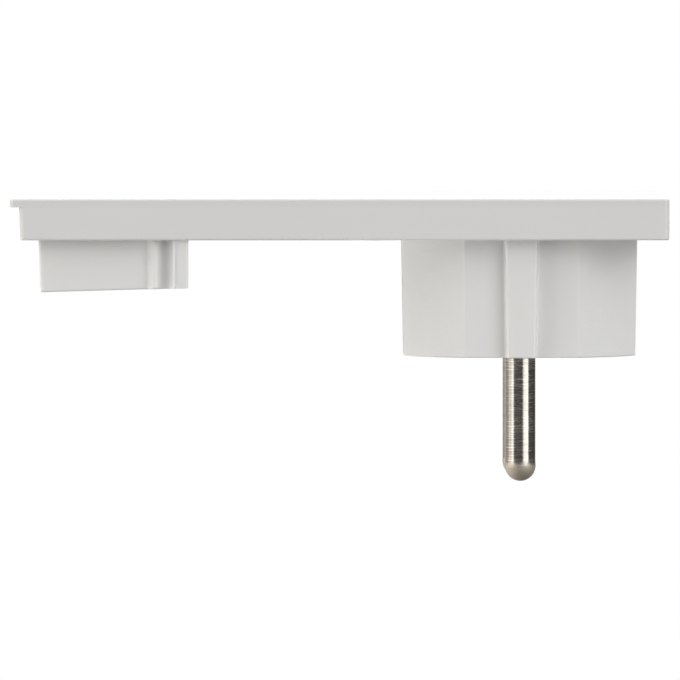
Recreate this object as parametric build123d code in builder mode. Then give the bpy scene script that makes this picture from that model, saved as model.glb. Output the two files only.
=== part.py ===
from build123d import *
import os
from math import radians, sqrt, tan

# Flat angled earthed mains plug that its user wires up.
# A thin plate carries the round plug body at its head end and a shallow cord block under its cord end.
# Frame, in millimetres: the origin is the centre of the plug's engagement face, +Z runs from that face
# up to the lid, -X runs along the plate to the cord end, and the two pins stand on the Y axis.

# Plate: base tray and lid together
PLATE_LENGTH = 101.25      # base, head end to cord end
PLATE_WIDTH = 42.0
PLATE_THICKNESS = 6.45     # base and lid together
HEAD_REACH = 23.0          # plug axis to the head end
PLATE_FLOOR = 1.6
PLATE_WALL = 1.6
PLATE_CORNER = 0.8         # upright corners in plan
END_RAKE = 0.2             # lean of the base's cord end
LID_THICKNESS = 1.3
LIP_REACH = 1.42           # pull lip beyond the base's cord end
EDGE_ROUND = 0.3           # moulded outer edges

# Lid fixings
RIM_HEIGHT = 1.2           # locating rim under the lid
RIM_THICKNESS = 1.0
RIM_CLEARANCE = 0.12
HOOK_WIDTH = 6.0           # hooks that hold the lid at the head end
HOOK_SPACING = 22.0
HOOK_DROP = 2.8
HOOK_HEIGHT = 1.0
HOOK_REACH = 0.7           # beyond the rim, into the end wall
HOOK_CLEARANCE = 0.15

# Plug body
BODY_DEPTH = 18.45         # engagement face to the plate
BODY_DIAMETER = 37.55      # where it meets the plate
BODY_DRAFT = 0.94          # degrees, narrowing towards the face, flats and ribs too
BODY_WALL = 1.6
FACE_WALL = 2.4
FACE_ROUND = 0.2
FLATS_ACROSS = 32.5        # over the two guide flats, at the face
RIB_WIDTH = 4.25           # crest of a guide rib, at the face
RIB_ROOT_WIDTH = 4.6
RIB_ACROSS = 36.4          # over the crests of both guide ribs, at the face
RIB_ROOT_ROUND = 0.4
RIB_CREST_ROUND = 0.25

# Pins
PIN_DIAMETER = 4.8
PIN_LENGTH = 19.45
PIN_SPACING = 19.0
PIN_ROOT_DIAMETER = 5.5    # where it passes the face
PIN_COLLAR_DIAMETER = 8.4
PIN_COLLAR_HEIGHT = 1.6
PIN_PILLAR_DIAMETER = 6.4
PIN_CLEARANCE = 0.1        # on the diameter, in the holes that hold the pin
PIN_ROOM = 5.0             # top of the pillar to the lid
WIRE_HOLE_DIAMETER = 3.4
WIRE_HOLE_DROP = 4.0       # below the top of the pillar

# Carrier in the plug body
CARRIER_CLEARANCE = 0.15
CARRIER_SLAB = 6.6
CARRIER_TOWER_WALL = 1.3
CARRIER_TOWER_RISE = 2.4
CARRIER_SPINE_WIDTH = 8.4
CARRIER_SCREW_SPACING = 21.0
CARRIER_BOSS_HEIGHT = 5.0
CARRIER_BOSS_DIAMETER = 5.6

# Earth contact
EARTH_ACROSS = 32.8        # over the two side contacts
EARTH_WIDTH = 6.4
EARTH_THICKNESS = 0.8
EARTH_BEND = 1.2           # outer radius
EARTH_ROOM = 3.9           # top of the strap to the lid
EARTH_END_GAP = 0.2        # leg to the inside of the face
SLOT_CLEARANCE = 0.2       # beside the leg
SLOT_STEP = 0.1            # slot bottom at the face stands this far proud of the contact
SLOT_BACKING = 1.2         # wall between slot and cavity, beside the leg
EARTH_NUT_SIZE = 6.0
EARTH_NUT_HEIGHT = 2.6
EARTH_NUT_CLEARANCE = 0.2
EARTH_PLATE_LENGTH = 7.6
EARTH_PLATE_THICKNESS = 1.0
EARTH_PLATE_GROOVE = 1.2   # wire groove, diameter
EARTH_SCREW_SHANK_LENGTH = 5.4

# Cord block under the cord end
COVER_INSET = 3.0          # base's cord end to the cover's end
COVER_LENGTH = 21.45
COVER_SIDE = 3.0           # plate's side to the cover's side
COVER_WALL = 1.4
COVER_RAKE = 0.24          # lean of its end
COVER_END_ROUND = 0.5      # upright corners at the cord end
COVER_GAP = 0.05           # cover to end wall
FLANGE_THICKNESS = 0.5     # flange of the cover, flush with the end wall
FLANGE_COVE = 1.5
FLANGE_ROUND = 0.3
BEAD_SETBACK = 1.95        # flange to the upright beads on the cover's sides
BEAD_SIDE = 1.9            # plate's side to the bead
BEAD_CREST = 0.6
BEAD_FLANK = 0.7           # run of each of its two slopes
BEAD_FOOT_ROUND = 0.6
BEAD_CREST_ROUND = 0.4
BLOCK_DEPTH = 8.16         # below the plate, at the cord end
BLOCK_SLOPE = 1.6          # degrees, shallower towards the plug
END_WALL_THICKNESS = 1.85  # base wall that the cover meets
END_WALL_SIDE = 0.7        # plate's side to the wall's end
END_WALL_ROUND = 0.4       # upright corners towards the plug

# Cord entry and grip
CORD_BORE = 9.0
CORD_HUMP_WALL = 1.2
WINDOW_LENGTH = 3.4        # where the wires pass up into the tray
WINDOW_WIDTH = 14.0
CLAMP_SETBACK = 11.1       # cover's end to the clamp's middle
CLAMP_LENGTH = 6.0
CLAMP_WIDTH = 22.8
CLAMP_MIDDLE = 1.9         # bar thickness under the cord
CLAMP_CLEARANCE = 0.8      # bar to the inside of the cover
CLAMP_NOTCH_WIDTH = 10.4
CLAMP_NOTCH_ROUND = 1.5
CLAMP_RIDGE_HEIGHT = 0.6   # ridges that grip the cord
CLAMP_RIDGE_SPACING = 3.0
CLAMP_SCREW_SPACING = 16.0
CLAMP_SCREW_STAND = 0.2    # heads stand this far out of the bar
CLAMP_BOSS_RISE = 2.4
CLAMP_BOSS_SKIN = 0.8      # left over the blind screw hole

# Wire guides in the tray
GUIDE_LENGTH = 25.0
GUIDE_SETBACK = 27.0       # plug axis to the near ends
GUIDE_SPACING = 9.2
GUIDE_THICKNESS = 1.0
GUIDE_HEIGHT = 2.6

# Housing screws
SCREW_SHANK = 2.4
SCREW_HEAD = 5.0
SCREW_HEAD_HEIGHT = 1.6
SCREW_PILOT_CLEARANCE = 0.1   # on the diameter, where the screw bites
SCREW_HOLE_CLEARANCE = 0.6    # on the diameter, where the screw passes
SCREW_HEAD_CLEARANCE = 0.6    # on the diameter, round the head
SCREW_END_GAP = 0.2           # below the bottom of a blind hole
BOSS_DIAMETER = 6.2
BOSS_RISE = 1.2               # base bosses above the tray floor
BOSS_JOINT_GAP = 0.1          # base boss to lid boss
LID_PILOT_DEPTH = 0.4         # into the lid's plate
HOUSING_SCREW_SETBACK = 23.0  # plug axis to the short screws
HOUSING_SCREW_SPACING = 30.0
HOUSING_SCREW_STAND = 0.1     # heads stand this far out of the plate
COVER_SCREW_SETBACK = 4.2     # cover's end and sides to the long screws
COVER_SCREW_SEAT = 2.0        # above the cover's underside
COVER_POST_DIAMETER = 7.2
CARRIER_SCREW_SKIN = 1.4      # left of the face below the screw

# Terminal screws
TERMINAL_SHANK = 2.9
TERMINAL_HEAD = 5.4
TERMINAL_HEAD_HEIGHT = 1.8
TERMINAL_BITE = 0.1           # on the diameter, in the tapped holes
TERMINAL_HOLE_CLEARANCE = 0.5  # on the diameter, where the earth screw passes
TERMINAL_REACH = 2.6          # shank of a pin's terminal screw

# Drive slots in the screw heads
DRIVE_LENGTH = 3.2
DRIVE_WIDTH = 0.85
DRIVE_DEPTH = 0.9
HEAD_CHAMFER = 0.4

# Heights
UNDERSIDE = BODY_DEPTH
TRAY_FLOOR = UNDERSIDE + PLATE_FLOOR
LID_SEAT = UNDERSIDE + PLATE_THICKNESS - LID_THICKNESS
STRAP_TOP = LID_SEAT - EARTH_ROOM
CARRIER_TOP = STRAP_TOP - EARTH_THICKNESS
SLAB_TOP = FACE_WALL + CARRIER_SLAB
COLLAR_TOP = FACE_WALL + PIN_COLLAR_HEIGHT
PIN_TOP = LID_SEAT - PIN_ROOM
BOSS_TOP = TRAY_FLOOR + BOSS_RISE
LID_PILOT_END = LID_SEAT + LID_PILOT_DEPTH

# Places along the plate
CORD_END = HEAD_REACH - PLATE_LENGTH
COVER_END = CORD_END + COVER_INSET
COVER_INNER_END = COVER_END + COVER_LENGTH
END_WALL_START = COVER_INNER_END + COVER_GAP
END_WALL_END = END_WALL_START + END_WALL_THICKNESS
FLANGE_START = COVER_INNER_END - FLANGE_THICKNESS
BEAD_END = FLANGE_START - BEAD_SETBACK
BEAD_START = BEAD_END - BEAD_CREST - 2 * BEAD_FLANK
WINDOW_END = COVER_INNER_END - COVER_WALL
WINDOW_START = WINDOW_END - WINDOW_LENGTH
CLAMP_X = COVER_END + CLAMP_SETBACK
TRAY_START = CORD_END + PLATE_WALL
TRAY_END = HEAD_REACH - PLATE_WALL

# Sizes across
FACE_RADIUS = BODY_DIAMETER / 2 - BODY_DEPTH * tan(radians(BODY_DRAFT))
CAVITY_RADIUS = FACE_RADIUS - BODY_WALL
SLOT_BOTTOM = EARTH_ACROSS / 2 + SLOT_STEP
SLOT_WIDTH = EARTH_WIDTH + 2 * SLOT_CLEARANCE
CAVITY_LENGTH = 2 * (SLOT_BOTTOM - SLOT_BACKING)
CAVITY_WIDTH = FLATS_ACROSS - 2 * BODY_WALL
LEG_INSIDE = EARTH_ACROSS / 2 - EARTH_THICKNESS
COVER_WIDTH = PLATE_WIDTH - 2 * COVER_SIDE
BEAD_ACROSS = PLATE_WIDTH - 2 * BEAD_SIDE
END_WALL_WIDTH = PLATE_WIDTH - 2 * END_WALL_SIDE
COVER_SCREW_SPACING = COVER_WIDTH - 2 * COVER_SCREW_SETBACK
SCREW_PILOT = SCREW_SHANK + SCREW_PILOT_CLEARANCE
SCREW_HOLE = SCREW_SHANK + SCREW_HOLE_CLEARANCE
SCREW_RECESS = SCREW_HEAD + SCREW_HEAD_CLEARANCE
TAPPED_HOLE = TERMINAL_SHANK + TERMINAL_BITE
EARTH_SCREW_HOLE = TERMINAL_SHANK + TERMINAL_HOLE_CLEARANCE

FROM_BOTTOM = (Align.CENTER, Align.CENTER, Align.MIN)
FROM_TOP = (Align.CENTER, Align.CENTER, Align.MAX)


def block_bottom(x):
    """Height of the cord block's sloping underside."""
    return UNDERSIDE - BLOCK_DEPTH + (x - COVER_END) * tan(radians(BLOCK_SLOPE))


def across(x, spacing, z):
    """A pair of points, one on each side of the plug's middle."""
    return [(x, -spacing / 2, z), (x, spacing / 2, z)]


def along(spacing, z):
    """A pair of points, one at each end of the plug body's middle."""
    return [(-spacing / 2, 0, z), (spacing / 2, 0, z)]


CORD_AXIS = block_bottom(COVER_END) + COVER_WALL + CORD_BORE / 2
CLAMP_BOTTOM = block_bottom(CLAMP_X) + COVER_WALL + CLAMP_CLEARANCE
CLAMP_SEAT = CLAMP_BOTTOM + SCREW_HEAD_HEIGHT - CLAMP_SCREW_STAND
CLAMP_BOSS_TOP = TRAY_FLOOR + CLAMP_BOSS_RISE
CLAMP_PILOT_END = CLAMP_BOSS_TOP - CLAMP_BOSS_SKIN
HOUSING_SEAT = UNDERSIDE + SCREW_HEAD_HEIGHT - HOUSING_SCREW_STAND
COVER_SCREW_X = COVER_END + COVER_SCREW_SETBACK
COVER_SEAT = block_bottom(COVER_SCREW_X) + COVER_SCREW_SEAT

PIN_PLACES = across(0, PIN_SPACING, 0)
HOUSING_SCREW_PLACES = across(-HOUSING_SCREW_SETBACK, HOUSING_SCREW_SPACING, HOUSING_SEAT)
COVER_SCREW_PLACES = across(COVER_SCREW_X, COVER_SCREW_SPACING, COVER_SEAT)
CLAMP_SCREW_PLACES = across(CLAMP_X, CLAMP_SCREW_SPACING, CLAMP_SEAT)
CARRIER_SCREW_PLACES = along(CARRIER_SCREW_SPACING, STRAP_TOP)
TERMINAL_SCREW_PLACES = across(0, PIN_SPACING, PIN_TOP)
LID_SCREW_PLACES = HOUSING_SCREW_PLACES + COVER_SCREW_PLACES


def at_height(places, z):
    """The same places, moved to another height."""
    return [(x, y, z) for x, y, _ in places]


def cavity_outline(clearance):
    """Round cavity of the plug body with four flats, or the carrier that fits it."""
    Circle(CAVITY_RADIUS - clearance)
    Rectangle(CAVITY_LENGTH - 2 * clearance, CAVITY_WIDTH - 2 * clearance, mode=Mode.INTERSECT)


def guide_recess(z):
    """What is cut away at one height beside and beyond a guide rib, which grows with the body's draft."""
    growth = z * tan(radians(BODY_DRAFT))
    root = (RIB_ROOT_WIDTH / 2 + growth, FLATS_ACROSS / 2 + growth)
    crest = (RIB_WIDTH / 2 + growth, RIB_ACROSS / 2 + growth)
    with BuildSketch(Plane.XY.offset(z)) as recess:
        with BuildLine():
            Polyline(
                (BODY_DIAMETER / 2, root[1]),
                root,
                crest,
                (0, crest[1]),
                (0, BODY_DIAMETER),
                (BODY_DIAMETER / 2, BODY_DIAMETER),
                close=True,
            )
        make_face()
        fillet(recess.vertices().sort_by_distance(root)[0], RIB_ROOT_ROUND)
        fillet(recess.vertices().sort_by_distance(crest)[0], RIB_CREST_ROUND)
        mirror(about=Plane.YZ)
    return recess.sketch.face()


def cover_corners(wall):
    """Corners of the cord cover's side outline, or of the hollow that leaves a wall inside it."""
    start = COVER_END + wall
    end = COVER_INNER_END - wall
    foot = start + COVER_RAKE
    return [
        (start, UNDERSIDE),
        (foot, block_bottom(foot) + wall),
        (end, block_bottom(end) + wall),
        (end, UNDERSIDE),
    ]


def make_screws(places, head, head_height, shank, length, points_up, cross):
    """Screws that share one size, with the undersides of their heads at the given places."""
    turn = 0 if points_up else 180
    seats = [Location(place, (turn, 0, 0)) for place in places]
    faces = [seat * Location((0, 0, -head_height)) for seat in seats]
    ends = [seat * Location((0, 0, length - shank / 2)) for seat in seats]
    slots = (0, 90) if cross else (0,)
    with BuildPart() as screws:
        with Locations(*seats):
            Cylinder(head / 2, head_height, align=FROM_TOP)
            Cylinder(shank / 2, length - shank / 2, align=FROM_BOTTOM)
        with Locations(*ends):
            Cone(shank / 2, shank / 4, shank / 2, align=FROM_BOTTOM)
        circles = screws.edges().filter_by(GeomType.CIRCLE)
        rims = circles.filter_by(lambda edge: edge.radius > (head + shank) / 4)
        chamfer(rims.group_by(Axis.Z)[0 if points_up else -1], HEAD_CHAMFER)
        with Locations(*faces):
            for angle in slots:
                Box(DRIVE_LENGTH, DRIVE_WIDTH, DRIVE_DEPTH, rotation=(0, 0, angle),
                    align=FROM_BOTTOM, mode=Mode.SUBTRACT)
    return screws


# Base: tray, plug body and the end wall of the cord block
with BuildPart() as base_shell:
    with BuildSketch(Plane.XY.offset(UNDERSIDE)):
        with Locations(((CORD_END + END_RAKE + HEAD_REACH) / 2, 0)):
            RectangleRounded(PLATE_LENGTH - END_RAKE, PLATE_WIDTH, PLATE_CORNER)
    with BuildSketch(Plane.XY.offset(LID_SEAT)):
        with Locations(((CORD_END + HEAD_REACH) / 2, 0)):
            RectangleRounded(PLATE_LENGTH, PLATE_WIDTH, PLATE_CORNER)
    loft(ruled=True)
    fillet(base_shell.edges().group_by(Axis.Z)[0], EDGE_ROUND)

    # Plug body with a guide rib standing on each of its two flats
    Cone(FACE_RADIUS, BODY_DIAMETER / 2, BODY_DEPTH, align=FROM_BOTTOM)
    with BuildPart(mode=Mode.SUBTRACT):
        loft([guide_recess(0), guide_recess(UNDERSIDE)], ruled=True)
        mirror(about=Plane.XZ)
    fillet(base_shell.faces().sort_by(Axis.Z)[0].outer_wire().edges(), FACE_ROUND)

    # End wall of the cord block, which the cord cover meets
    with BuildSketch(Plane.XZ):
        with BuildLine():
            Polyline(
                (END_WALL_START, TRAY_FLOOR),
                (END_WALL_START, block_bottom(END_WALL_START)),
                (END_WALL_END, block_bottom(END_WALL_END)),
                (END_WALL_END, TRAY_FLOOR),
                close=True,
            )
        make_face()
    extrude(amount=END_WALL_WIDTH / 2, both=True)
    uprights = base_shell.edges().filter_by(Axis.Z)
    fillet(uprights.filter_by_position(Axis.X, END_WALL_START, END_WALL_END, (False, True)), END_WALL_ROUND)

    # Inside of the tray and of the plug body
    with BuildSketch(Plane.XY.offset(TRAY_FLOOR)):
        with Locations(((TRAY_START + TRAY_END) / 2, 0)):
            RectangleRounded(TRAY_END - TRAY_START, PLATE_WIDTH - 2 * PLATE_WALL, PLATE_CORNER)
    extrude(amount=LID_SEAT - TRAY_FLOOR, mode=Mode.SUBTRACT)
    with BuildSketch(Plane.XY.offset(FACE_WALL)):
        cavity_outline(0)
    extrude(amount=TRAY_FLOOR - FACE_WALL, mode=Mode.SUBTRACT)

    # Slots for the earth contacts, open to the socket outside and to the cavity inside
    with BuildSketch(Plane.XY):
        Rectangle(BODY_DIAMETER, SLOT_WIDTH)
        Rectangle(2 * SLOT_BOTTOM, SLOT_WIDTH, mode=Mode.SUBTRACT)
    extrude(amount=UNDERSIDE, mode=Mode.SUBTRACT)
    with BuildSketch(Plane.XY.offset(FACE_WALL)):
        Rectangle(2 * SLOT_BOTTOM, SLOT_WIDTH)
    extrude(amount=TRAY_FLOOR - FACE_WALL, mode=Mode.SUBTRACT)

    # Pin holes and the bosses for the carrier's screws
    with Locations(*PIN_PLACES):
        Cylinder((PIN_ROOT_DIAMETER + PIN_CLEARANCE) / 2, FACE_WALL, align=FROM_BOTTOM, mode=Mode.SUBTRACT)
    with Locations(*at_height(CARRIER_SCREW_PLACES, FACE_WALL)):
        Cylinder(CARRIER_BOSS_DIAMETER / 2, CARRIER_BOSS_HEIGHT, align=FROM_BOTTOM)
    with Locations(*at_height(CARRIER_SCREW_PLACES, FACE_WALL + CARRIER_BOSS_HEIGHT)):
        Hole(SCREW_PILOT / 2, depth=CARRIER_BOSS_HEIGHT + FACE_WALL - CARRIER_SCREW_SKIN)

    # Cord entry: a half-round hump over the cord, then the window into the tray
    with BuildSketch(Plane.YZ.offset(TRAY_START)):
        with Locations((0, CORD_AXIS)):
            Circle(CORD_BORE / 2 + CORD_HUMP_WALL)
        with Locations((0, UNDERSIDE)):
            Rectangle(PLATE_WIDTH, PLATE_WIDTH, align=(Align.CENTER, Align.MAX), mode=Mode.SUBTRACT)
    extrude(amount=WINDOW_START - TRAY_START)
    with BuildSketch(Plane.YZ.offset(CORD_END)):
        with Locations((0, CORD_AXIS)):
            Circle(CORD_BORE / 2)
    extrude(amount=WINDOW_START - CORD_END, mode=Mode.SUBTRACT)
    with BuildSketch(Plane.XY.offset(UNDERSIDE)):
        with Locations(((WINDOW_START + WINDOW_END) / 2, 0)):
            Rectangle(WINDOW_LENGTH, WINDOW_WIDTH)
    extrude(amount=PLATE_FLOOR, mode=Mode.SUBTRACT)

    # Screw bosses on the tray floor, then their holes
    with Locations(*at_height(LID_SCREW_PLACES, TRAY_FLOOR)):
        Cylinder(BOSS_DIAMETER / 2, BOSS_RISE, align=FROM_BOTTOM)
    with Locations(*at_height(CLAMP_SCREW_PLACES, TRAY_FLOOR)):
        Cylinder(BOSS_DIAMETER / 2, CLAMP_BOSS_RISE, align=FROM_BOTTOM)
    with Locations(*at_height(LID_SCREW_PLACES, UNDERSIDE)):
        Cylinder(SCREW_HOLE / 2, BOSS_TOP - UNDERSIDE, align=FROM_BOTTOM, mode=Mode.SUBTRACT)
    with Locations(*at_height(HOUSING_SCREW_PLACES, UNDERSIDE)):
        Cylinder(SCREW_RECESS / 2, HOUSING_SEAT - UNDERSIDE, align=FROM_BOTTOM, mode=Mode.SUBTRACT)
    with Locations(*at_height(CLAMP_SCREW_PLACES, UNDERSIDE)):
        Cylinder(SCREW_PILOT / 2, CLAMP_PILOT_END - UNDERSIDE, align=FROM_BOTTOM, mode=Mode.SUBTRACT)

    # Guides that keep the three wires apart in the tray
    with Locations(*across(-GUIDE_SETBACK - GUIDE_LENGTH / 2, GUIDE_SPACING, TRAY_FLOOR)):
        Box(GUIDE_LENGTH, GUIDE_THICKNESS, GUIDE_HEIGHT, align=FROM_BOTTOM)

    # Pockets in the head end wall for the lid's hooks
    with Locations(*across(TRAY_END, HOOK_SPACING, LID_SEAT - HOOK_DROP - HOOK_CLEARANCE)):
        Box(2 * HOOK_REACH, HOOK_WIDTH + 2 * HOOK_CLEARANCE, HOOK_HEIGHT + 2 * HOOK_CLEARANCE,
            align=FROM_BOTTOM, mode=Mode.SUBTRACT)

# Lid: flat plate with the pull lip, its locating rim, screw bosses and hooks
with BuildPart() as lid:
    with BuildSketch(Plane.XY.offset(LID_SEAT)):
        with Locations(((CORD_END - LIP_REACH + HEAD_REACH) / 2, 0)):
            RectangleRounded(PLATE_LENGTH + LIP_REACH, PLATE_WIDTH, PLATE_CORNER)
    extrude(amount=LID_THICKNESS)
    fillet(lid.edges().group_by(Axis.Z)[-1], EDGE_ROUND)
    rim_length = TRAY_END - TRAY_START - 2 * RIM_CLEARANCE
    rim_width = PLATE_WIDTH - 2 * PLATE_WALL - 2 * RIM_CLEARANCE
    with BuildSketch(Plane.XY.offset(LID_SEAT)):
        with Locations(((TRAY_START + TRAY_END) / 2, 0)):
            RectangleRounded(rim_length, rim_width, PLATE_CORNER)
            Rectangle(rim_length - 2 * RIM_THICKNESS, rim_width - 2 * RIM_THICKNESS, mode=Mode.SUBTRACT)
    extrude(amount=-RIM_HEIGHT)
    with Locations(*at_height(LID_SCREW_PLACES, LID_SEAT)):
        Cylinder(BOSS_DIAMETER / 2, LID_SEAT - BOSS_TOP - BOSS_JOINT_GAP, align=FROM_TOP)
    with Locations(*at_height(LID_SCREW_PLACES, LID_PILOT_END)):
        Cylinder(SCREW_PILOT / 2, LID_PILOT_END - BOSS_TOP, align=FROM_TOP, mode=Mode.SUBTRACT)
    for _, y, _ in across(TRAY_END, HOOK_SPACING, LID_SEAT):
        with BuildSketch(Plane.XZ.offset(-y)):
            with Locations((TRAY_END - RIM_CLEARANCE, LID_SEAT)):
                Rectangle(RIM_THICKNESS, HOOK_DROP, align=(Align.MAX, Align.MAX))
            with Locations((TRAY_END - RIM_CLEARANCE, LID_SEAT - HOOK_DROP)):
                Rectangle(HOOK_REACH, HOOK_HEIGHT, align=(Align.MIN, Align.MIN))
        extrude(amount=HOOK_WIDTH / 2, both=True)

# Cover of the cord block: a shallow box with a sloping floor, open towards the plate
with BuildPart() as cord_cover:
    with BuildSketch(Plane.XY.offset(UNDERSIDE)) as cover_plan:
        with BuildLine():
            Polyline(
                (COVER_END, 0),
                (COVER_END, COVER_WIDTH / 2),
                (BEAD_START, COVER_WIDTH / 2),
                (BEAD_START + BEAD_FLANK, BEAD_ACROSS / 2),
                (BEAD_END - BEAD_FLANK, BEAD_ACROSS / 2),
                (BEAD_END, COVER_WIDTH / 2),
                (FLANGE_START, COVER_WIDTH / 2),
                (FLANGE_START, END_WALL_WIDTH / 2),
                (COVER_INNER_END, END_WALL_WIDTH / 2),
                (COVER_INNER_END, 0),
                close=True,
            )
        make_face()
        rounds = (
            (BEAD_START, COVER_WIDTH, BEAD_FOOT_ROUND),
            (BEAD_START + BEAD_FLANK, BEAD_ACROSS, BEAD_CREST_ROUND),
            (BEAD_END - BEAD_FLANK, BEAD_ACROSS, BEAD_CREST_ROUND),
            (BEAD_END, COVER_WIDTH, BEAD_FOOT_ROUND),
            (FLANGE_START, COVER_WIDTH, FLANGE_COVE),
            (FLANGE_START, END_WALL_WIDTH, FLANGE_ROUND),
        )
        for x, width, radius in rounds:
            fillet(cover_plan.vertices().sort_by_distance((x, width / 2))[0], radius)
        mirror(about=Plane.XZ)
    extrude(amount=-BLOCK_DEPTH)
    with BuildSketch(Plane.XZ):
        with BuildLine():
            Polyline(*cover_corners(0), close=True)
        make_face()
    extrude(amount=PLATE_WIDTH / 2, both=True, mode=Mode.INTERSECT)
    end_sides = cord_cover.faces().sort_by(Axis.X)[0].edges().group_by(Axis.Y)
    fillet(end_sides[0] + end_sides[-1], COVER_END_ROUND)
    fillet(cord_cover.faces().sort_by(Axis.Z)[0].edges().sort_by(Axis.X)[:-1], EDGE_ROUND)
    with BuildSketch(Plane.XZ):
        with BuildLine():
            Polyline(*cover_corners(COVER_WALL), close=True)
        make_face()
    extrude(amount=COVER_WIDTH / 2 - COVER_WALL, both=True, mode=Mode.SUBTRACT)
    post_foot = block_bottom(COVER_SCREW_X) + COVER_WALL / 2
    with Locations(*at_height(COVER_SCREW_PLACES, post_foot)):
        Cylinder(COVER_POST_DIAMETER / 2, UNDERSIDE - post_foot, align=FROM_BOTTOM)
    with Locations(*at_height(COVER_SCREW_PLACES, UNDERSIDE)):
        Hole(SCREW_HOLE / 2, depth=BLOCK_DEPTH)
    with Locations(*COVER_SCREW_PLACES):
        Cylinder(SCREW_RECESS / 2, 2 * COVER_SCREW_SEAT, align=FROM_TOP, mode=Mode.SUBTRACT)
    with BuildSketch(Plane.YZ.offset(COVER_END)):
        with Locations((0, CORD_AXIS)):
            Circle(CORD_BORE / 2)
            Rectangle(CORD_BORE, UNDERSIDE - CORD_AXIS, align=(Align.CENTER, Align.MIN))
    extrude(amount=COVER_RAKE + COVER_WALL, mode=Mode.SUBTRACT)

# Bar of the cord grip, notched for the cord and ridged to hold it
with BuildPart() as cord_clamp_bar:
    notch_bottom = CLAMP_BOTTOM + CLAMP_MIDDLE
    with BuildSketch(Plane.YZ.offset(CLAMP_X)):
        with Locations((0, UNDERSIDE)):
            Rectangle(CLAMP_WIDTH, UNDERSIDE - CLAMP_BOTTOM, align=(Align.CENTER, Align.MAX))
            Rectangle(CLAMP_NOTCH_WIDTH, UNDERSIDE - notch_bottom, align=(Align.CENTER, Align.MAX),
                      mode=Mode.SUBTRACT)
    extrude(amount=CLAMP_LENGTH / 2, both=True)
    notch_edges = cord_clamp_bar.edges().filter_by(Axis.X).filter_by_position(
        Axis.Z, CLAMP_BOTTOM, UNDERSIDE, inclusive=(False, False))
    fillet(notch_edges, CLAMP_NOTCH_ROUND)
    with BuildSketch(Plane.XZ):
        with Locations((CLAMP_X - CLAMP_RIDGE_SPACING / 2, notch_bottom),
                       (CLAMP_X + CLAMP_RIDGE_SPACING / 2, notch_bottom)):
            flank = CLAMP_RIDGE_HEIGHT * sqrt(2)
            Triangle(a=2 * CLAMP_RIDGE_HEIGHT, b=flank, c=flank, align=(Align.CENTER, Align.MIN))
    extrude(amount=CLAMP_NOTCH_WIDTH / 2 - CLAMP_NOTCH_ROUND, both=True)
    with Locations(*at_height(CLAMP_SCREW_PLACES, UNDERSIDE)):
        Hole(SCREW_HOLE / 2, depth=UNDERSIDE - CLAMP_BOTTOM)
    with Locations(*CLAMP_SCREW_PLACES):
        Cylinder(SCREW_RECESS / 2, SCREW_HEAD_HEIGHT, align=FROM_TOP, mode=Mode.SUBTRACT)

# Carrier in the plug body: slab round the pins, and a spine between them that carries the earth strap
with BuildPart() as pin_carrier:
    with BuildSketch(Plane.XY.offset(FACE_WALL)):
        cavity_outline(CARRIER_CLEARANCE)
    extrude(amount=CARRIER_SLAB)
    with BuildSketch(Plane.XY.offset(FACE_WALL)):
        cavity_outline(CARRIER_CLEARANCE)
        Rectangle(2 * CAVITY_RADIUS, CARRIER_SPINE_WIDTH, mode=Mode.INTERSECT)
        Rectangle(2 * LEG_INSIDE, EARTH_WIDTH)
    extrude(amount=CARRIER_TOP - FACE_WALL)
    shoulders = pin_carrier.faces().sort_by(Axis.Z)[-1].edges().filter_by(Axis.Y)
    chamfer(shoulders.group_by(Axis.X)[0] + shoulders.group_by(Axis.X)[-1], EARTH_BEND / 2)
    with Locations(*at_height(PIN_PLACES, SLAB_TOP)):
        Cylinder(PIN_PILLAR_DIAMETER / 2 + CARRIER_TOWER_WALL, CARRIER_TOWER_RISE, align=FROM_BOTTOM)
    with Locations(*at_height(PIN_PLACES, SLAB_TOP + CARRIER_TOWER_RISE)):
        Hole((PIN_PILLAR_DIAMETER + PIN_CLEARANCE) / 2, depth=CARRIER_TOWER_RISE + CARRIER_SLAB)
    with Locations(*at_height(PIN_PLACES, COLLAR_TOP)):
        Hole((PIN_COLLAR_DIAMETER + PIN_CLEARANCE) / 2, depth=PIN_COLLAR_HEIGHT)
    with Locations(*at_height(CARRIER_SCREW_PLACES, FACE_WALL + CARRIER_BOSS_HEIGHT + CARRIER_CLEARANCE)):
        Hole(CARRIER_BOSS_DIAMETER / 2 + CARRIER_CLEARANCE, depth=CARRIER_BOSS_HEIGHT + CARRIER_CLEARANCE)
    with Locations(*at_height(CARRIER_SCREW_PLACES, CARRIER_TOP)):
        Hole(SCREW_HOLE / 2, depth=CARRIER_TOP - FACE_WALL)
    with Locations((0, 0, CARRIER_TOP)):
        nut_pocket = EARTH_NUT_SIZE + EARTH_NUT_CLEARANCE
        Box(nut_pocket, nut_pocket, EARTH_NUT_HEIGHT, align=FROM_TOP, mode=Mode.SUBTRACT)
        Hole(EARTH_SCREW_HOLE / 2, depth=EARTH_SCREW_SHANK_LENGTH)

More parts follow.
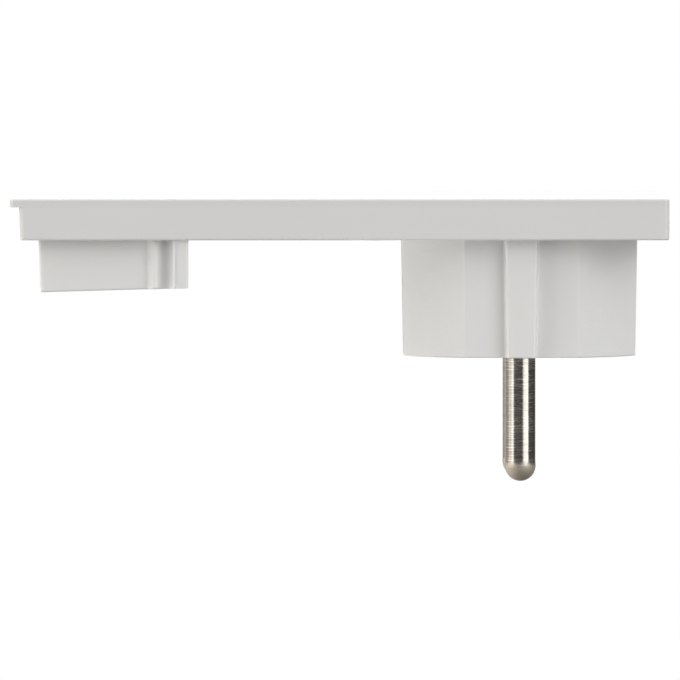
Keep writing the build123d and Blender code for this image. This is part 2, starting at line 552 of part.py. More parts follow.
# Earth strap: one bent strip, its two legs standing in the slots of the plug body
with BuildPart() as earth_strap:
    leg_end = FACE_WALL + EARTH_END_GAP
    with BuildSketch(Plane.XZ) as strap_profile:
        with Locations((0, leg_end)):
            Rectangle(EARTH_ACROSS, STRAP_TOP - leg_end, align=(Align.CENTER, Align.MIN))
            Rectangle(2 * LEG_INSIDE, CARRIER_TOP - leg_end, align=(Align.CENTER, Align.MIN),
                      mode=Mode.SUBTRACT)
        fillet(strap_profile.vertices().group_by(Axis.Y)[-1], EARTH_BEND)
        inner_corners = strap_profile.vertices().filter_by_position(Axis.X, -LEG_INSIDE, LEG_INSIDE)
        fillet(inner_corners.group_by(Axis.Y)[1], EARTH_BEND - EARTH_THICKNESS)
    extrude(amount=EARTH_WIDTH / 2, both=True)
    leg_tips = earth_strap.edges().filter_by(Axis.Y).group_by(Axis.Z)[0].group_by(Axis.X)
    chamfer(leg_tips[0] + leg_tips[-1], EARTH_THICKNESS / 2)
    with Locations(*CARRIER_SCREW_PLACES):
        Hole(SCREW_HOLE / 2, depth=EARTH_THICKNESS)
    with Locations((0, 0, STRAP_TOP)):
        Hole(EARTH_SCREW_HOLE / 2, depth=EARTH_THICKNESS)

# Earth terminal: square nut below the strap, clamp plate above it
with BuildPart() as earth_nut:
    with Locations((0, 0, CARRIER_TOP)):
        Box(EARTH_NUT_SIZE, EARTH_NUT_SIZE, EARTH_NUT_HEIGHT, align=FROM_TOP)
    fillet(earth_nut.edges().filter_by(Axis.Z), EDGE_ROUND)
    with Locations((0, 0, CARRIER_TOP)):
        Hole(TAPPED_HOLE / 2, depth=EARTH_NUT_HEIGHT)

with BuildPart() as earth_clamp_plate:
    with Locations((0, 0, STRAP_TOP)):
        Box(EARTH_PLATE_LENGTH, EARTH_WIDTH, EARTH_PLATE_THICKNESS, align=FROM_BOTTOM)
    fillet(earth_clamp_plate.edges().filter_by(Axis.Z), EDGE_ROUND)
    with Locations((0, 0, STRAP_TOP + EARTH_PLATE_THICKNESS)):
        Hole(EARTH_SCREW_HOLE / 2, depth=EARTH_PLATE_THICKNESS)
    with Locations(*along(EARTH_PLATE_LENGTH - 2 * EARTH_PLATE_GROOVE, STRAP_TOP)):
        Cylinder(EARTH_PLATE_GROOVE / 2, EARTH_WIDTH, rotation=(90, 0, 0), mode=Mode.SUBTRACT)


def make_pin(y):
    """Plug pin in one piece with its collar and its terminal pillar."""
    pin_radius = PIN_DIAMETER / 2
    tip_centre = -PIN_LENGTH + pin_radius
    with BuildPart() as pin:
        with BuildSketch(Plane.XZ.offset(-y)):
            with BuildLine():
                CenterArc((0, tip_centre), pin_radius, -90, 90)
                Polyline(
                    (pin_radius, tip_centre),
                    (pin_radius, 0),
                    (PIN_ROOT_DIAMETER / 2, 0),
                    (PIN_ROOT_DIAMETER / 2, FACE_WALL),
                    (PIN_COLLAR_DIAMETER / 2, FACE_WALL),
                    (PIN_COLLAR_DIAMETER / 2, COLLAR_TOP),
                    (PIN_PILLAR_DIAMETER / 2, COLLAR_TOP),
                    (PIN_PILLAR_DIAMETER / 2, PIN_TOP),
                    (0, PIN_TOP),
                    (0, -PIN_LENGTH),
                )
            make_face()
        revolve(axis=Axis((0, y, 0), (0, 0, 1)))
        chamfer(pin.faces().sort_by(Axis.Z)[-1].edges(), EDGE_ROUND)
        with Locations(Location((0, y, PIN_TOP - WIRE_HOLE_DROP), (0, 90, 0))):
            Cylinder(WIRE_HOLE_DIAMETER / 2, PIN_PILLAR_DIAMETER, mode=Mode.SUBTRACT)
        with Locations((0, y, PIN_TOP)):
            Hole(TAPPED_HOLE / 2, depth=WIRE_HOLE_DROP)
    return pin


line_pin, neutral_pin = [make_pin(y) for _, y, _ in PIN_PLACES]

housing = (SCREW_HEAD, SCREW_HEAD_HEIGHT, SCREW_SHANK)
terminal = (TERMINAL_HEAD, TERMINAL_HEAD_HEIGHT, TERMINAL_SHANK)
lid_reach = LID_PILOT_END - SCREW_END_GAP
housing_screws = make_screws(HOUSING_SCREW_PLACES, *housing, lid_reach - HOUSING_SEAT, True, True)
cover_screws = make_screws(COVER_SCREW_PLACES, *housing, lid_reach - COVER_SEAT, True, True)
clamp_reach = CLAMP_PILOT_END - SCREW_END_GAP
clamp_screws = make_screws(CLAMP_SCREW_PLACES, *housing, clamp_reach - CLAMP_SEAT, True, True)
carrier_reach = STRAP_TOP - CARRIER_SCREW_SKIN - SCREW_END_GAP
carrier_screws = make_screws(CARRIER_SCREW_PLACES, *housing, carrier_reach, False, True)
pin_terminal_screws = make_screws(TERMINAL_SCREW_PLACES, *terminal, TERMINAL_REACH, False, False)
earth_seat = [(0, 0, STRAP_TOP + EARTH_PLATE_THICKNESS)]
earth_screw = make_screws(earth_seat, *terminal, EARTH_SCREW_SHANK_LENGTH, False, False)

pieces = {
    "base_shell": base_shell,
    "lid": lid,
    "cord_cover": cord_cover,
    "cord_clamp_bar": cord_clamp_bar,
    "pin_carrier": pin_carrier,
    "line_pin": line_pin,
    "neutral_pin": neutral_pin,
    "earth_strap": earth_strap,
    "earth_nut": earth_nut,
    "earth_clamp_plate": earth_clamp_plate,
    "earth_screw": earth_screw,
    "pin_terminal_screws": pin_terminal_screws,
    "carrier_screws": carrier_screws,
    "clamp_screws": clamp_screws,
    "housing_screws": housing_screws,
    "cover_screws": cover_screws,
}

os.makedirs("parts", exist_ok=True)
for name, piece in pieces.items():
    piece.part.label = name
    export_step(piece.part, f"parts/{name}.step")
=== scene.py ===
"""Finishes, studio and camera of a flat angled earthed mains plug.

Laid out as an add-on and run as a script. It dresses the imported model, whose nodes keep their
shape and place.
"""

import math

import bpy
from bpy.props import FloatProperty, FloatVectorProperty, PointerProperty
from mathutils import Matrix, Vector


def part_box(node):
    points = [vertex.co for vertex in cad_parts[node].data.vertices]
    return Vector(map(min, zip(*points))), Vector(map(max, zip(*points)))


bl_info = {
    "name": "Flat angled plug",
    "version": (1, 0, 0),
    "blender": (4, 5, 0),
    "location": "View3D > Sidebar > Plug",
    "description": "Finishes, studio and camera of a flat angled earthed mains plug",
    "category": "Object",
}

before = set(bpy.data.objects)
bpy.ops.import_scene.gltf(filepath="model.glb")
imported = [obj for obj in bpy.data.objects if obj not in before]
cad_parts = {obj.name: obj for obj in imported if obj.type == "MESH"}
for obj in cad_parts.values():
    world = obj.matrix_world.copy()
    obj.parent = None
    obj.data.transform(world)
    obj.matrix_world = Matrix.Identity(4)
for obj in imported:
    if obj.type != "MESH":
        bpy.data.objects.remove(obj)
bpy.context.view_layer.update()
MM = 0.001
WHITE = (1.0, 1.0, 1.0, 1.0)

# Nodes by finish
WHITE_SHELLS = ("base_shell", "cord_cover")
LID = "lid"
INNER_MOULDINGS = ("pin_carrier", "cord_clamp_bar")
PINS = ("line_pin", "neutral_pin")
EARTH_STRIP = "earth_strap"
TERMINAL_METAL = ("earth_nut", "earth_clamp_plate", "earth_screw", "pin_terminal_screws")
SCREWS = ("carrier_screws", "clamp_screws", "housing_screws", "cover_screws")

# The plate's finish, and the painted shade that darkens the plate, take over from the plug body's just above
# the plate's underside
PLATE_BOTTOM = 18.45 * MM
PLATE_EDGE = 0.3 * MM

# Where the plug body carries its eroded grain: the round outside, below the plate and between the flats
GRAIN_RADIUS = 18.4 * MM
GRAIN_BAND = 1.0 * MM
GRAIN_HALF_WIDTH = 16.2 * MM
GRAIN_ROUGHNESS = 0.16

# White plastic: its faint clouds, the unevenness of its gloss, and the swell of its moulded skin
PLASTIC_IOR = 1.5
CLOUD_SIZE = 14 * MM
CLOUD_SHARES = (0.985, 1.015)
SHIMMER_SIZE = 1.5 * MM
SHIMMER = 0.03
SKIN_SIZE = 0.9 * MM
SKIN_DEPTH = 0.0015 * MM
# How far red, green and blue light go in it, as shares of the light depth
LIGHT_SHARES = (1.0, 0.92, 0.82)
# Brightness of the inner mouldings against the housing
INNER_SHADE = 0.88

# Pins: the height of the rounded tip, and where its dull finish and painted shade begin above it and are full
# below
TIP_HEIGHT = 2.4 * MM
DULL_AND_SHADE_FROM = 1.2 * MM
DULL_AND_SHADE_FULL = 0.6 * MM
TIP_ROUGHNESS = 0.60
PEENED_DEPTH = 0.008 * MM
# Noise is drawn out round the pin, and along the strip, by these scales
ROUND_THE_PIN = (0.06, 0.06, 1.0)
ALONG_THE_STRIP = (0.04, 1.0, 0.04)
# Length of one band of the wave texture at a scale of 1
WAVE_BAND = 0.1 * math.pi

# Zinc plating: the yellow cast of its clouds, and the roughness of screws and of terminal pieces
YELLOW_CAST = (1.03, 1.00, 0.93)
SCREW_ROUGHNESS = 0.28
TERMINAL_ROUGHNESS = 0.36

# Nearly all of the noise lies between these values
NOISE_LOW = 0.3
NOISE_HIGH = 0.7

# Sockets of a mix of colours, whose names are those of other mixes too
MIX_FACTOR, MIX_FIRST, MIX_SECOND = 0, 6, 7
MIX_RESULT = 2

# Brightness and warmth of the studio by bearing from the camera's side, in degrees, positive to the right:
# level with the plug, above it and below it
STUDIO_RING = (
    (-180, 1.00, 0.2),
    (-170, 0.85, 0.2),
    (-162, 0.35, 0.6),
    (-104, 0.30, 1.0),
    (-96, 0.68, 1.0),
    (-74, 0.74, 0.9),
    (-64, 1.10, 0.1),
    (-56, 1.10, 0.0),
    (-50, 0.07, 0.0),
    (18, 0.06, 1.0),
    (24, 1.05, 0.2),
    (58, 1.45, 0.1),
    (64, 0.05, 0.3),
    (145, 0.06, 0.6),
    (162, 0.80, 0.2),
    (180, 1.00, 0.2),
)
STUDIO_ABOVE = (
    (-180, 0.45, 0.0),
    (-140, 0.90, 0.2),
    (-115, 1.60, 0.3),
    (-75, 1.60, 0.3),
    (-50, 0.90, 0.3),
    (-15, 0.65, 0.0),
    (15, 0.75, 0.4),
    (30, 1.45, 0.0),
    (60, 1.45, 0.0),
    (85, 0.90, 0.0),
    (120, 0.80, 0.0),
    (180, 0.45, 0.0),
)
STUDIO_BELOW = (
    (-180, 0.60, 0.6),
    (-125, 3.60, 0.3),
    (-65, 3.60, 0.3),
    (-40, 0.65, 0.4),
    (0, 0.25, 0.6),
    (40, 0.80, 0.6),
    (80, 1.20, 0.4),
    (180, 0.60, 0.6),
)

# Heights between which each band of light comes in or dies away, as the upward part of a direction
RING_FOOT = (-0.42, -0.28)
RING_HEAD = (0.72, 0.55)
ABOVE_FOOT = (0.08, 0.30)
OVERHEAD_FOOT = (0.70, 0.95)
BELOW_HEAD = (-0.08, -0.30)
UNDERFOOT = (-0.85, -0.45)
# Share of the light from below that is left straight underneath
UNDERFOOT_SHARE = 0.25

CAMERA_REACH = 100.0


class HousingLook(bpy.types.PropertyGroup):
    """White moulded housing."""

    colour: FloatVectorProperty(
        name="Colour",
        description="White of the moulded housing",
        subtype="COLOR", size=3, min=0.0, max=1.0, default=(0.842, 0.841, 0.835),
    )
    # Painted shade: the plate's white is darkened against the plug body and the cord block below it
    plate_painted_shade: FloatProperty(
        name="Plate shade",
        description="Brightness of the smooth plate against the plug body and the cord block",
        subtype="FACTOR", min=0.0, max=1.0, default=0.908,
    )
    lid_shade: FloatProperty(
        name="Lid shade",
        description="Brightness of the lid against the plate under it",
        subtype="FACTOR", min=0.0, max=1.0, default=0.975,
    )
    roughness: FloatProperty(
        name="Roughness",
        description="Roughness of the plug body and the cord block",
        subtype="FACTOR", min=0.0, max=1.0, default=0.40,
    )
    plate_roughness: FloatProperty(
        name="Plate roughness",
        description="Roughness of the polished plate and its lid",
        subtype="FACTOR", min=0.0, max=1.0, default=0.20,
    )
    translucency: FloatProperty(
        name="Translucency",
        description="Share of the light that goes into the plastic below the plate and comes out near by",
        subtype="FACTOR", min=0.0, max=1.0, default=0.6,
    )
    light_depth: FloatProperty(
        name="Light depth",
        description="How far that light goes",
        unit="LENGTH", min=0.0, default=0.6 * MM,
    )
    grain_size: FloatProperty(
        name="Grain size",
        description="Width of one dimple of the eroded grain",
        unit="LENGTH", min=0.0, default=0.32 * MM,
    )
    grain_depth: FloatProperty(
        name="Grain depth",
        description="Depth of the eroded grain",
        unit="LENGTH", min=0.0, default=0.08 * MM,
    )


class MetalLook(bpy.types.PropertyGroup):
    """Plated pins, earth strip and screws."""

    plating: FloatVectorProperty(
        name="Plating",
        description="Colour of the nickel plating",
        subtype="COLOR", size=3, min=0.0, max=1.0, default=(0.665, 0.635, 0.585),
    )
    # Painted shade: the tips' colour is darkened for the dim surroundings they reflect; their dulled finish
    # is in the roughness
    tip_painted_shade: FloatVectorProperty(
        name="Worn tip",
        description="Colour of the pins' rounded tips, where the plating has dulled",
        subtype="COLOR", size=3, min=0.0, max=1.0, default=(0.500, 0.450, 0.375),
    )
    zinc: FloatVectorProperty(
        name="Zinc",
        description="Colour of the zinc-plated screws",
        subtype="COLOR", size=3, min=0.0, max=1.0, default=(0.600, 0.605, 0.615),
    )
    turning_pitch: FloatProperty(
        name="Turning pitch",
        description="Distance between the turning lines of the pins",
        unit="LENGTH", min=0.0, default=0.42 * MM,
    )
    turning_depth: FloatProperty(
        name="Turning depth",
        description="Depth of the turning lines",
        unit="LENGTH", min=0.0, default=0.04 * MM,
    )
    feed_depth: FloatProperty(
        name="Feed depth",
        description="Depth of the even groove that the turning tool left",
        unit="LENGTH", min=0.0, default=0.007 * MM,
    )


class StudioLook(bpy.types.PropertyGroup):
    """Camera and light."""

    distance: FloatProperty(
        name="Distance",
        description="Camera to the middle plane of the plug",
        unit="LENGTH", min=0.1, default=2.5,
    )
    lens: FloatProperty(
        name="Lens",
        description="Focal length",
        unit="CAMERA", min=1.0, default=843.7,
    )
    camera_x: FloatProperty(
        name="Camera place",
        description="Place of the camera along the plate",
        unit="LENGTH", default=-52.4 * MM,
    )
    camera_z: FloatProperty(
        name="Camera height",
        description="Height of the camera above the engagement face",
        unit="LENGTH", default=76.4 * MM,
    )
    aim_x: FloatProperty(
        name="Aim place",
        description="Place along the plate that the camera is aimed at",
        unit="LENGTH", default=-28.1 * MM,
    )
    aim_z: FloatProperty(
        name="Aim height",
        description="Height that the camera is aimed at",
        unit="LENGTH", default=2.32 * MM,
    )
    ring_light: FloatProperty(
        name="Ring light",
        description="Brightness of the studio level with the plug",
        min=0.0, default=1.35,
    )
    top_light: FloatProperty(
        name="Top light",
        description="Brightness of the studio above the plug",
        min=0.0, default=0.8,
    )
    overhead_light: FloatProperty(
        name="Overhead light",
        description="Share that the soft box straight above adds to the top light",
        min=0.0, default=0.6,
    )
    floor_light: FloatProperty(
        name="Floor light",
        description="Brightness of the light that the floor throws back",
        min=0.0, default=0.55,
    )
    cool_tint: FloatVectorProperty(
        name="Cool tint",
        description="Colour of the light where the studio is coolest",
        subtype="COLOR", size=3, min=0.0, max=1.0, default=(0.985, 0.995, 1.0),
    )
    warm_tint: FloatVectorProperty(
        name="Warm tint",
        description="Colour of the light where the studio is warmest",
        subtype="COLOR", size=3, min=0.0, max=1.0, default=(1.0, 0.92, 0.84),
    )
    floor_drop: FloatProperty(
        name="Floor drop",
        description="Floor below the engagement face",
        unit="LENGTH", min=0.1, default=6.0,
    )
    floor_reach: FloatProperty(
        name="Floor reach",
        description="Half the width of the floor",
        unit="LENGTH", min=1.0, default=30.0,
    )


def scaled(colour, share):
    """A colour made darker or lighter."""
    return tuple(channel * share for channel in colour)


def with_alpha(colour):
    """A colour with its fourth channel. The output of a node stays as it is."""
    return colour if isinstance(colour, bpy.types.NodeSocket) else (*colour, 1.0)


def add_node(tree, kind, inputs=None, **settings):
    """A node with its settings, whose inputs take a value or the output of another node."""
    node = tree.nodes.new(kind)
    for name, value in settings.items():
        setattr(node, name, value)
    for name, value in (inputs or {}).items():
        if isinstance(value, bpy.types.NodeSocket):
            tree.links.new(value, node.inputs[name])
        else:
            node.inputs[name].default_value = value
    return node


def add_math(tree, operation, *values):
    """One step of arithmetic on numbers and the outputs of other nodes."""
    node = add_node(tree, "ShaderNodeMath", dict(enumerate(values)), operation=operation)
    return node.outputs["Value"]


def add_range(tree, value, low, high, to_low=0.0, to_high=1.0, interpolation="LINEAR"):
    """A value taken from one range to another."""
    inputs = {"Value": value, "From Min": low, "From Max": high, "To Min": to_low, "To Max": to_high}
    node = add_node(tree, "ShaderNodeMapRange", inputs, interpolation_type=interpolation)
    return node.outputs["Result"]


def add_step(tree, value, low, high):
    """A soft step, from none at one value to all at another."""
    return add_range(tree, value, low, high, interpolation="SMOOTHSTEP")


def add_blend(tree, share, none, full):
    """A number between two others."""
    return add_range(tree, share, 0.0, 1.0, none, full)


def add_spread(tree, noise, low, high):
    """A number that goes from low to high with the noise."""
    return add_range(tree, noise, NOISE_LOW, NOISE_HIGH, low, high)


def add_noise(tree, vector, size, detail=2.0, roughness=0.5):
    """Noise with grains of one size, in metres."""
    inputs = {"Vector": vector, "Scale": 1.0 / size, "Detail": detail, "Roughness": roughness}
    return add_node(tree, "ShaderNodeTexNoise", inputs).outputs["Fac"]


def add_parts(tree, vector):
    """The X, Y and Z of a place or a direction."""
    return add_node(tree, "ShaderNodeSeparateXYZ", {"Vector": vector}).outputs


def add_stretch(tree, place, scale):
    """The place with its axes scaled, so that noise on it is drawn out into lines."""
    return add_node(tree, "ShaderNodeMapping", {"Vector": place, "Scale": scale}).outputs["Vector"]


def add_tint(tree, share, first, second):
    """A colour between two others."""
    inputs = {MIX_FACTOR: share, MIX_FIRST: with_alpha(first), MIX_SECOND: with_alpha(second)}
    return add_node(tree, "ShaderNodeMix", inputs, data_type="RGBA").outputs[MIX_RESULT]


def add_shade(tree, colour, share):
    """A colour made darker or lighter from place to place."""
    node = add_node(tree, "ShaderNodeVectorMath", {0: colour, "Scale": share}, operation="SCALE")
    return node.outputs["Vector"]


def add_bump(tree, height, depth, normal=None):
    """Bump of a real depth, on the surface or on another bump."""
    inputs = {"Height": height, "Distance": depth, "Strength": 1.0}
    if normal is not None:
        inputs["Normal"] = normal
    return add_node(tree, "ShaderNodeBump", inputs).outputs["Normal"]


def new_material(name, metallic=0.0):
    """A material with its shader, and the place on the piece in metres."""
    material = bpy.data.materials.new(name)
    material.use_nodes = True
    tree = material.node_tree
    shader = next(node for node in tree.nodes if node.type == "BSDF_PRINCIPLED")
    shader.inputs["Metallic"].default_value = metallic
    place = add_node(tree, "ShaderNodeTexCoord").outputs["Object"]
    return material, tree, shader, place


def link_finish(tree, shader, colour, roughness, normal):
    """Gives a shader its colour, its roughness and the relief of its surface."""
    tree.links.new(colour, shader.inputs["Base Color"])
    tree.links.new(roughness, shader.inputs["Roughness"])
    tree.links.new(normal, shader.inputs["Normal"])


def dress(node, material):
    """Gives a node of the model its finish."""
    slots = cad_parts[node].data.materials
    slots.clear()
    slots.append(material)


def clouded_white(tree, place, colour):
    """White plastic with faint clouds."""
    cloud = add_noise(tree, place, CLOUD_SIZE)
    return add_tint(tree, cloud, *(scaled(colour, share) for share in CLOUD_SHARES))


def moulded_skin(tree, place):
    """The slight swell of a moulded surface."""
    return add_bump(tree, add_noise(tree, place, SKIN_SIZE), SKIN_DEPTH)


def grained_area(tree, part):
    """1 where the plug body carries its grain, and 0 elsewhere."""
    flat_place = add_node(tree, "ShaderNodeCombineXYZ", {"X": part["X"], "Y": part["Y"]}).outputs["Vector"]
    radius = add_node(tree, "ShaderNodeVectorMath", {0: flat_place}, operation="LENGTH").outputs["Value"]
    area = add_math(tree, "GREATER_THAN", radius, GRAIN_RADIUS)
    limits = (
        (radius, GRAIN_RADIUS + GRAIN_BAND),
        (add_math(tree, "ABSOLUTE", part["Y"]), GRAIN_HALF_WIDTH),
        (part["Z"], PLATE_BOTTOM),
    )
    for value, limit in limits:
        area = add_math(tree, "MULTIPLY", area, add_math(tree, "LESS_THAN", value, limit))
    return area


def satin_shell(look):
    """Satin white plastic that lets some light in, with a grain on the round outside of the plug body.

    The plate is smoother and lets no light in, and painted shade makes its white darker than the plug body
    and the cord block.
    """
    material, tree, shader, place = new_material("white_shell")
    part = add_parts(tree, place)
    plate = add_step(tree, part["Z"], PLATE_BOTTOM, PLATE_BOTTOM + PLATE_EDGE)
    # Painted shade: the white is darkened from just above the plate's underside upwards
    shade = add_blend(tree, plate, 1.0, look.plate_painted_shade)
    colour = add_shade(tree, clouded_white(tree, place, look.colour), shade)

    grained = grained_area(tree, part)
    polish = add_blend(tree, plate, look.roughness, look.plate_roughness)
    shimmer = add_spread(tree, add_noise(tree, place, SHIMMER_SIZE), -SHIMMER, SHIMMER)
    smooth = add_math(tree, "ADD", polish, shimmer)
    roughness = add_math(tree, "MULTIPLY_ADD", grained, GRAIN_ROUGHNESS, smooth)

    grain = add_noise(tree, place, look.grain_size, detail=3.0, roughness=0.6)
    relief = add_math(tree, "MULTIPLY", grain, grained)
    normal = add_bump(tree, relief, look.grain_depth, moulded_skin(tree, place))
    link_finish(tree, shader, colour, roughness, normal)

    shader.inputs["IOR"].default_value = PLASTIC_IOR
    translucency = add_blend(tree, plate, look.translucency, 0.0)
    tree.links.new(translucency, shader.inputs["Subsurface Weight"])
    shader.inputs["Subsurface Radius"].default_value = LIGHT_SHARES
    shader.inputs["Subsurface Scale"].default_value = look.light_depth
    return material


def polished_lid(look):
    """Smooth white plastic, as on the plate, a little darker."""
    material, tree, shader, place = new_material("white_lid")
    # The lid takes the plate's painted shade, and its own slightly darker tone
    colour = clouded_white(tree, place, scaled(look.colour, look.lid_shade * look.plate_painted_shade))
    unevenness = add_noise(tree, place, SHIMMER_SIZE)
    roughness = add_spread(tree, unevenness, look.plate_roughness - SHIMMER, look.plate_roughness + SHIMMER)
    link_finish(tree, shader, colour, roughness, moulded_skin(tree, place))
    shader.inputs["IOR"].default_value = PLASTIC_IOR
    return material


def inner_moulding(look):
    """Light grey insulating plastic of the inner pieces."""
    material, tree, shader, place = new_material("inner_moulding")
    grey = scaled(look.colour, INNER_SHADE)
    cloud = add_noise(tree, place, 6 * MM, detail=3.0)
    colour = add_tint(tree, cloud, scaled(grey, 0.95), scaled(grey, 1.03))
    roughness = add_spread(tree, add_noise(tree, place, 0.6 * MM), 0.42, 0.55)
    normal = add_bump(tree, add_noise(tree, place, 0.4 * MM), 0.004 * MM)
    link_finish(tree, shader, colour, roughness, normal)
    return material


def plated_pin(look, tip_top):
    """Bright nickel over turned brass: rings along the pin with painted reflection streaks, and a rounded tip
    that is rougher and has painted shade.
    """
    material, tree, shader, place = new_material("plated_pin", metallic=1.0)
    height = add_parts(tree, place)["Z"]
    tip = add_step(tree, height, tip_top + DULL_AND_SHADE_FROM, tip_top - DULL_AND_SHADE_FULL)
    rounds = add_stretch(tree, place, ROUND_THE_PIN)
    rings = add_noise(tree, rounds, look.turning_pitch, detail=4.0, roughness=0.7)

    cloud = add_noise(tree, place, 1.2 * MM, detail=4.0)
    plating = add_tint(tree, cloud, scaled(look.plating, 0.93), look.plating)
    # Painted reflection: the plating darker and lighter ring by ring, for turning lines catching light
    painted_ring_streaks = add_range(tree, rings, 0.35, 0.65, 0.80, 1.04)
    # Painted shade: the plating's colour goes over to the darker tip colour towards the end of the pin
    colour = add_tint(tree, tip, add_shade(tree, plating, painted_ring_streaks), look.tip_painted_shade)

    waves = add_noise(tree, rounds, 2.2 * MM, detail=1.0)
    polish = add_spread(tree, waves, 0.05, 0.10)
    roughness = add_math(tree, "MULTIPLY_ADD", tip, TIP_ROUGHNESS, polish)

    groove = {
        "Vector": rounds,
        "Scale": WAVE_BAND / look.turning_pitch,
        "Distortion": 5.0,
        "Detail": 2.0,
    }
    feed = add_node(tree, "ShaderNodeTexWave", groove, bands_direction="Z").outputs["Fac"]
    turned = add_bump(tree, feed, look.feed_depth, add_bump(tree, rings, look.turning_depth))
    peened = add_math(tree, "MULTIPLY", add_noise(tree, place, 0.18 * MM, detail=3.0), tip)
    link_finish(tree, shader, colour, roughness, add_bump(tree, peened, PEENED_DEPTH, turned))
    return material


def plated_strip(look):
    """Nickel-plated strip with fine rolling lines along its length."""
    material, tree, shader, place = new_material("plated_strip", metallic=1.0)
    length = add_stretch(tree, place, ALONG_THE_STRIP)
    lines = add_noise(tree, length, 0.12 * MM, detail=4.0, roughness=0.65)
    colour = add_tint(tree, lines, scaled(look.plating, 0.90), scaled(look.plating, 1.04))
    roughness = add_spread(tree, lines, 0.22, 0.34)
    link_finish(tree, shader, colour, roughness, add_bump(tree, lines, 0.003 * MM))
    return material


def plated_steel(name, look, polish):
    """Zinc-plated steel with a faintly clouded passivation."""
    material, tree, shader, place = new_material(name, metallic=1.0)
    cloud = add_noise(tree, place, 1.6 * MM, detail=4.0)
    yellowed = tuple(channel * cast for channel, cast in zip(look.zinc, YELLOW_CAST))
    colour = add_tint(tree, cloud, look.zinc, yellowed)
    roughness = add_spread(tree, cloud, polish - 0.05, polish + 0.07)
    normal = add_bump(tree, add_noise(tree, place, 0.12 * MM, detail=3.0), 0.003 * MM)
    link_finish(tree, shader, colour, roughness, normal)
    return material


class PLUG_OT_finish_housing(bpy.types.Operator):
    """Gives the base, the cord cover and the lid their white moulded finish"""

    bl_idname = "plug.finish_housing"
    bl_label = "Finish housing"

    def execute(self, context):
        look = context.scene.plug_housing
        shell = satin_shell(look)
        for node in WHITE_SHELLS:
            dress(node, shell)
        dress(LID, polished_lid(look))
        return {"FINISHED"}


class PLUG_OT_finish_inner_mouldings(bpy.types.Operator):
    """Gives the pin carrier and the cord clamp their insulating plastic"""

    bl_idname = "plug.finish_inner_mouldings"
    bl_label = "Finish inner mouldings"

    def execute(self, context):
        material = inner_moulding(context.scene.plug_housing)
        for node in INNER_MOULDINGS:
            dress(node, material)
        return {"FINISHED"}


class PLUG_OT_finish_pins(bpy.types.Operator):
    """Gives the two pins their turned and plated finish"""

    bl_idname = "plug.finish_pins"
    bl_label = "Finish pins"

    def execute(self, context):
        tip_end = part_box(PINS[0])[0].z
        material = plated_pin(context.scene.plug_metal, tip_end + TIP_HEIGHT)
        for node in PINS:
            dress(node, material)
        return {"FINISHED"}


class PLUG_OT_finish_earth_contact(bpy.types.Operator):
    """Gives the earth strip its rolled and plated finish"""

    bl_idname = "plug.finish_earth_contact"
    bl_label = "Finish earth contact"

    def execute(self, context):
        dress(EARTH_STRIP, plated_strip(context.scene.plug_metal))
        return {"FINISHED"}


class PLUG_OT_finish_screws(bpy.types.Operator):
    """Gives the screws and the small terminal pieces their zinc plating"""

    bl_idname = "plug.finish_screws"
    bl_label = "Finish screws"

    def execute(self, context):
        look = context.scene.plug_metal
        screw = plated_steel("zinc_screw", look, SCREW_ROUGHNESS)
        terminal = plated_steel("zinc_terminal", look, TERMINAL_ROUGHNESS)
        for node in SCREWS:
            dress(node, screw)
        for node in TERMINAL_METAL:
            dress(node, terminal)
        return {"FINISHED"}


def add_bearings(tree, turn, table, strength, look):
    """Light whose brightness and warmth follow a table of bearings."""
    ramp = add_node(tree, "ShaderNodeValToRGB", {"Fac": turn})
    stops = ramp.color_ramp.elements
    while len(stops) > 1:
        stops.remove(stops[-1])
    for index, (degrees, brightness, warmth) in enumerate(table):
        position = (degrees + 180) / 360
        stop = stops[0] if index == 0 else stops.new(position)
        stop.position = position
        tint = Vector(look.cool_tint).lerp(Vector(look.warm_tint), warmth)
        stop.color = with_alpha(scaled(tint, brightness))
    inputs = {"Color": ramp.outputs["Color"], "Strength": strength}
    return add_node(tree, "ShaderNodeBackground", inputs).outputs["Background"]


def studio_light(look):
    """White surroundings for the camera, and a studio of three bands of light for everything else."""
    world = bpy.data.worlds.new("studio")
    world.use_nodes = True
    tree = world.node_tree
    tree.nodes.clear()
    part = add_parts(tree, add_node(tree, "ShaderNodeTexCoord").outputs["Generated"])
    bearing = add_math(tree, "ARCTAN2", part["X"], add_math(tree, "MULTIPLY", part["Y"], -1.0))
    turn = add_range(tree, bearing, -math.pi, math.pi)

    height = part["Z"]
    level = add_math(tree, "MULTIPLY", add_step(tree, height, *RING_FOOT), add_step(tree, height, *RING_HEAD))
    overhead = add_range(tree, height, *OVERHEAD_FOOT, 1.0, 1.0 + look.overhead_light, "SMOOTHSTEP")
    up = add_math(tree, "MULTIPLY", add_step(tree, height, *ABOVE_FOOT), overhead)
    underfoot = add_range(tree, height, *UNDERFOOT, UNDERFOOT_SHARE, 1.0, "SMOOTHSTEP")
    down = add_math(tree, "MULTIPLY", add_step(tree, height, *BELOW_HEAD), underfoot)
    bands = (
        (STUDIO_RING, level, look.ring_light),
        (STUDIO_ABOVE, up, look.top_light),
        (STUDIO_BELOW, down, look.floor_light),
    )
    ring, above, below = (
        add_bearings(tree, turn, table, add_math(tree, "MULTIPLY", share, strength), look)
        for table, share, strength in bands
    )
    light = add_node(tree, "ShaderNodeAddShader", {0: ring, 1: above}).outputs["Shader"]
    light = add_node(tree, "ShaderNodeAddShader", {0: light, 1: below}).outputs["Shader"]

    backdrop = add_node(tree, "ShaderNodeBackground", {"Color": WHITE, "Strength": 1.0}).outputs["Background"]
    seen = add_node(tree, "ShaderNodeLightPath").outputs["Is Camera Ray"]
    light = add_node(tree, "ShaderNodeMixShader", {0: seen, 1: light, 2: backdrop}).outputs["Shader"]
    add_node(tree, "ShaderNodeOutputWorld", {"Surface": light})
    return world


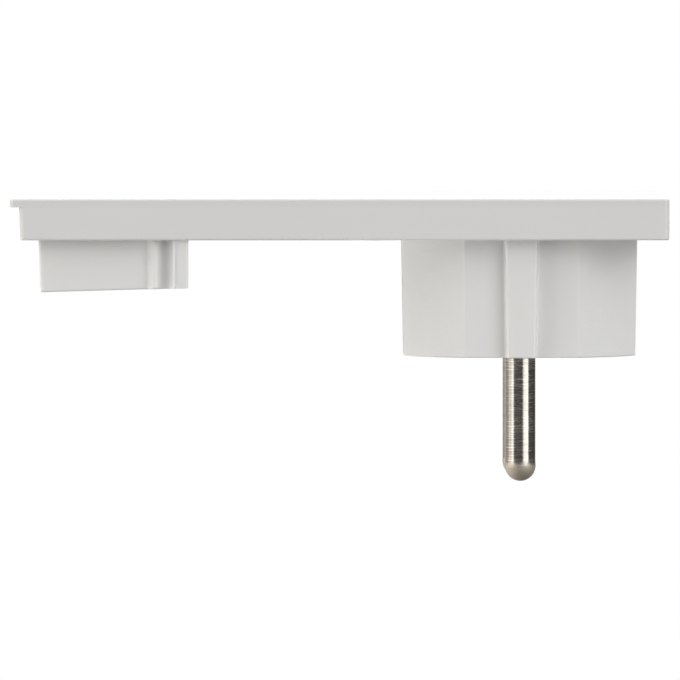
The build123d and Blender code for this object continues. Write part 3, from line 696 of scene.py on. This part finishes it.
def stage_floor(look):
    """Plain white floor, far enough down to throw no shadow into the picture."""
    reach = look.floor_reach
    corners = [(-reach, -reach), (reach, -reach), (reach, reach), (-reach, reach)]
    mesh = bpy.data.meshes.new("floor")
    mesh.from_pydata([(x, y, -look.floor_drop) for x, y in corners], [], [(0, 1, 2, 3)])
    material = bpy.data.materials.new("stage_white")
    material.use_nodes = True
    tree = material.node_tree
    tree.nodes.clear()
    glow = add_node(tree, "ShaderNodeEmission", {"Color": WHITE, "Strength": 1.0}).outputs["Emission"]
    add_node(tree, "ShaderNodeOutputMaterial", {"Surface": glow})
    mesh.materials.append(material)
    floor = bpy.data.objects.new("floor", mesh)
    floor.visible_diffuse = False
    floor.visible_glossy = False
    floor.visible_shadow = False
    bpy.context.scene.collection.objects.link(floor)


class PLUG_OT_set_stage(bpy.types.Operator):
    """Adds the white floor and the studio light, and keeps the colours as they are lit"""

    bl_idname = "plug.set_stage"
    bl_label = "Set stage"

    def execute(self, context):
        look = context.scene.plug_studio
        context.scene.world = studio_light(look)
        stage_floor(look)
        context.scene.view_settings.view_transform = "Standard"
        context.scene.view_settings.look = "None"
        return {"FINISHED"}


class PLUG_OT_place_camera(bpy.types.Operator):
    """Places the camera at the side of the plug, a little above its plate"""

    bl_idname = "plug.place_camera"
    bl_label = "Place camera"

    def execute(self, context):
        look = context.scene.plug_studio
        camera = bpy.data.objects.new("camera", bpy.data.cameras.new("camera"))
        context.scene.collection.objects.link(camera)
        camera.data.lens = look.lens
        camera.data.clip_end = CAMERA_REACH
        camera.location = (look.camera_x, -look.distance, look.camera_z)
        sight = Vector((look.aim_x, 0.0, look.aim_z)) - camera.location
        camera.rotation_euler = sight.to_track_quat("-Z", "Y").to_euler()
        context.scene.camera = camera
        return {"FINISHED"}


class PLUG_PT_looks(bpy.types.Panel):
    """Lists the steps that dress the plug, with the values that they use"""

    bl_idname = "PLUG_PT_looks"
    bl_label = "Flat angled plug"
    bl_space_type = "VIEW_3D"
    bl_region_type = "UI"
    bl_category = "Plug"

    def draw(self, context):
        column = self.layout.column()
        for operator in OPERATORS:
            column.operator(operator.bl_idname)
        for look in (context.scene.plug_housing, context.scene.plug_metal, context.scene.plug_studio):
            box = self.layout.box()
            for name in look.__annotations__:
                box.prop(look, name)


LOOKS = {"plug_housing": HousingLook, "plug_metal": MetalLook, "plug_studio": StudioLook}
OPERATORS = (
    PLUG_OT_finish_housing,
    PLUG_OT_finish_inner_mouldings,
    PLUG_OT_finish_pins,
    PLUG_OT_finish_earth_contact,
    PLUG_OT_finish_screws,
    PLUG_OT_set_stage,
    PLUG_OT_place_camera,
)


def register():
    """Registers the looks, the steps and the panel."""
    for name, look in LOOKS.items():
        bpy.utils.register_class(look)
        setattr(bpy.types.Scene, name, PointerProperty(type=look))
    for operator in OPERATORS:
        bpy.utils.register_class(operator)
    bpy.utils.register_class(PLUG_PT_looks)


def unregister():
    """Takes them out again, in the other order."""
    bpy.utils.unregister_class(PLUG_PT_looks)
    for operator in reversed(OPERATORS):
        bpy.utils.unregister_class(operator)
    for name, look in reversed(LOOKS.items()):
        delattr(bpy.types.Scene, name)
        bpy.utils.unregister_class(look)


def main():
    """Runs every step in order."""
    register()
    bpy.ops.plug.finish_housing()
    bpy.ops.plug.finish_inner_mouldings()
    bpy.ops.plug.finish_pins()
    bpy.ops.plug.finish_earth_contact()
    bpy.ops.plug.finish_screws()
    bpy.ops.plug.set_stage()
    bpy.ops.plug.place_camera()


if __name__ == "__main__":
    main()
